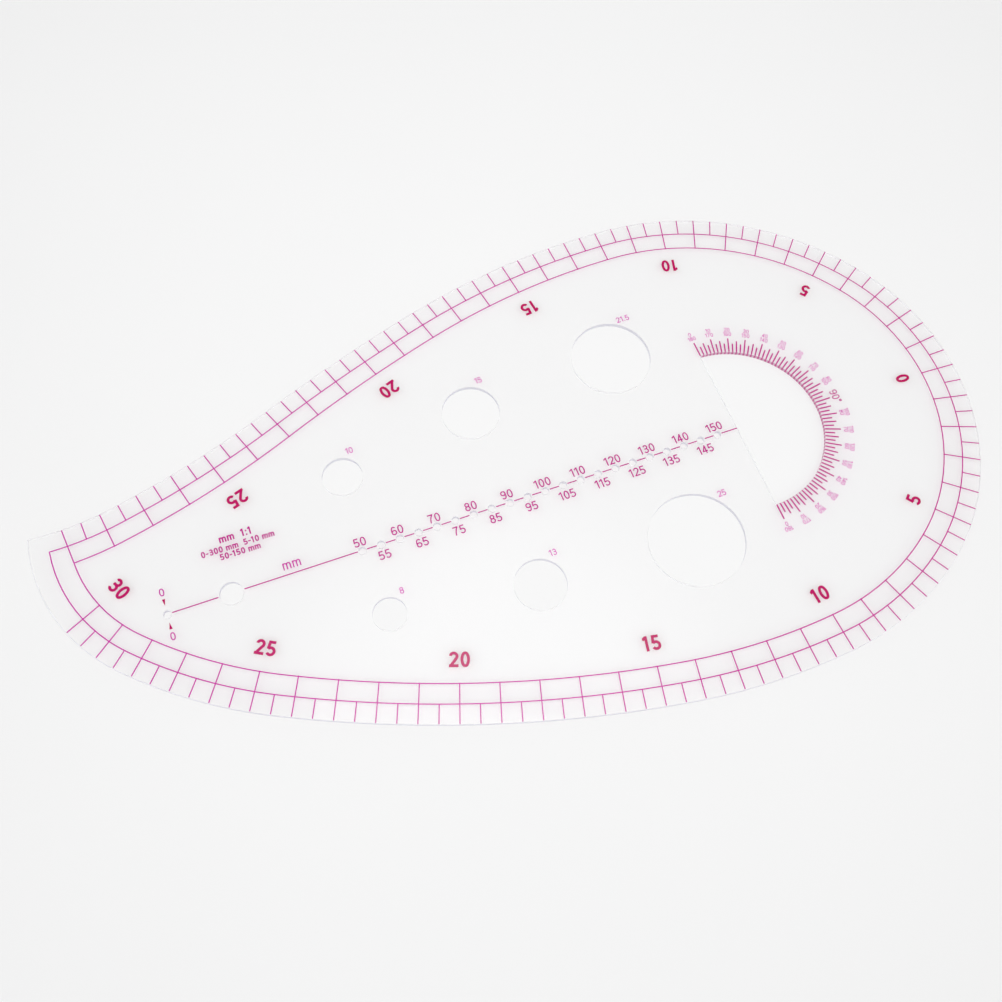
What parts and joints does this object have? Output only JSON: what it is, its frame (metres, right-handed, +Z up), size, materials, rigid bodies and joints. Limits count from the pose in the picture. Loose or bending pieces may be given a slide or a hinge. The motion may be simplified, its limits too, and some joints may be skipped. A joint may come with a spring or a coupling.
{
  "type": "french curve",
  "caption": "Flat clear leaf-shaped drawing curve with a printed edge scale, a compass rule of pencil holes, circle templates and a half-round protractor window.",
  "frame": {"origin": "axis of the compass pivot hole, on the underside of the sheet", "axes": "+X along the compass rule towards the protractor, the sheet's longest extent; +Z up through its thickness, out of the printed face"},
  "size_m": [0.2515, 0.1392, 0.0012],
  "materials": {
    "clear_plastic": "clear polished sheet",
    "bold_ink": "screen-printed magenta ink, solid figures",
    "fine_ink": "screen-printed magenta ink, thin lines"
  },
  "bodies": {
    "root": {"clear_plate": "clear_plastic", "edge_border_lines": "fine_ink", "edge_ticks_10mm": "fine_ink", "edge_ticks_5mm": "fine_ink", "edge_numerals_upper": "bold_ink", "edge_numerals_lower": "bold_ink", "edge_numeral_zero": "bold_ink", "compass_rule_line": "fine_ink", "compass_numerals_tens": "fine_ink", "compass_numerals_fives": "fine_ink", "pivot_arrows": "bold_ink", "pivot_zeros": "fine_ink", "unit_label": "fine_ink", "scale_notes": "bold_ink", "protractor_ticks": "fine_ink", "protractor_numerals_outer_row": "fine_ink", "protractor_numerals_inner_row": "fine_ink", "protractor_numeral_90": "fine_ink", "circle_size_numerals": "fine_ink"}
  },
  "joints": []
}
